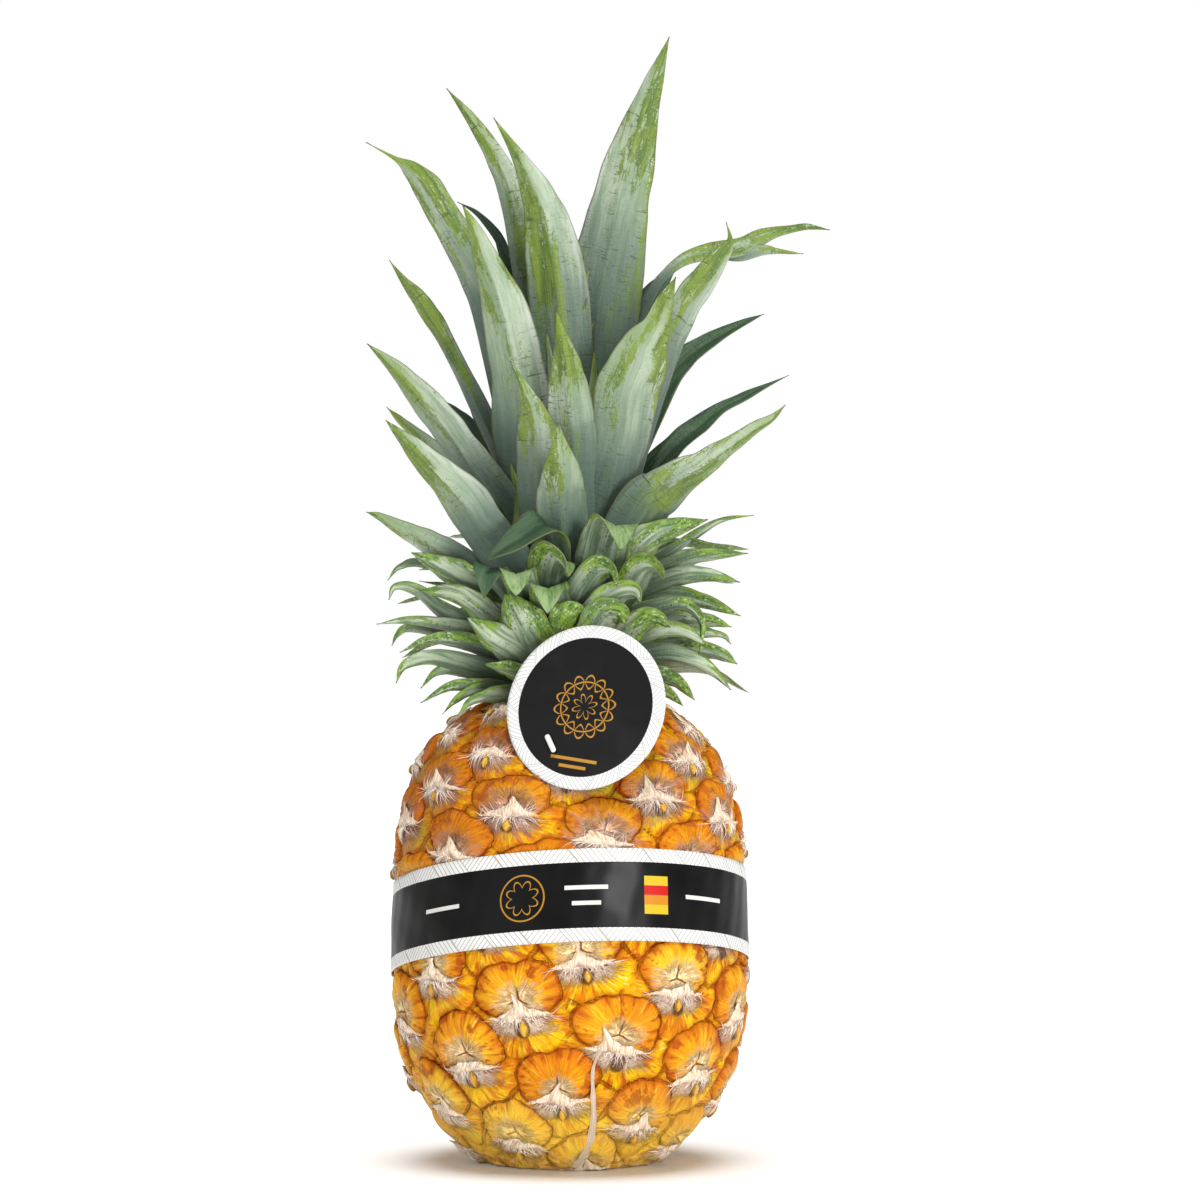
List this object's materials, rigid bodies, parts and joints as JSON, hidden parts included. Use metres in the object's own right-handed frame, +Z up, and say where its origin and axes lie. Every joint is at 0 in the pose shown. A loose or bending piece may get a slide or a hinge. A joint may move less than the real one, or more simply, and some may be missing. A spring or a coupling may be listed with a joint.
{
  "type": "pineapple",
  "caption": "Ripe pineapple with its leafy crown, cut flat at the base, with a sleeve band round the fruit and a round tag pinned to its shoulder.",
  "frame": {"origin": "centre of the flat cut base that the fruit stands on", "axes": "+Z up through the crown, -Y towards the side with the round tag"},
  "size_m": [0.1633, 0.1298, 0.394],
  "materials": {
    "fruit": "slightly waxy golden fruitlets with dry papery bracts",
    "crown": "waxy grey-green leaves",
    "label_band": "glossy black film with white borders",
    "round_tag": "laminated black card with a white rim",
    "tag_pin": "translucent white plastic"
  },
  "bodies": {
    "root": {"fruit": "fruit", "crown": "crown", "label_band": "label_band", "round_tag": "round_tag", "tag_pin": "tag_pin"}
  },
  "joints": []
}
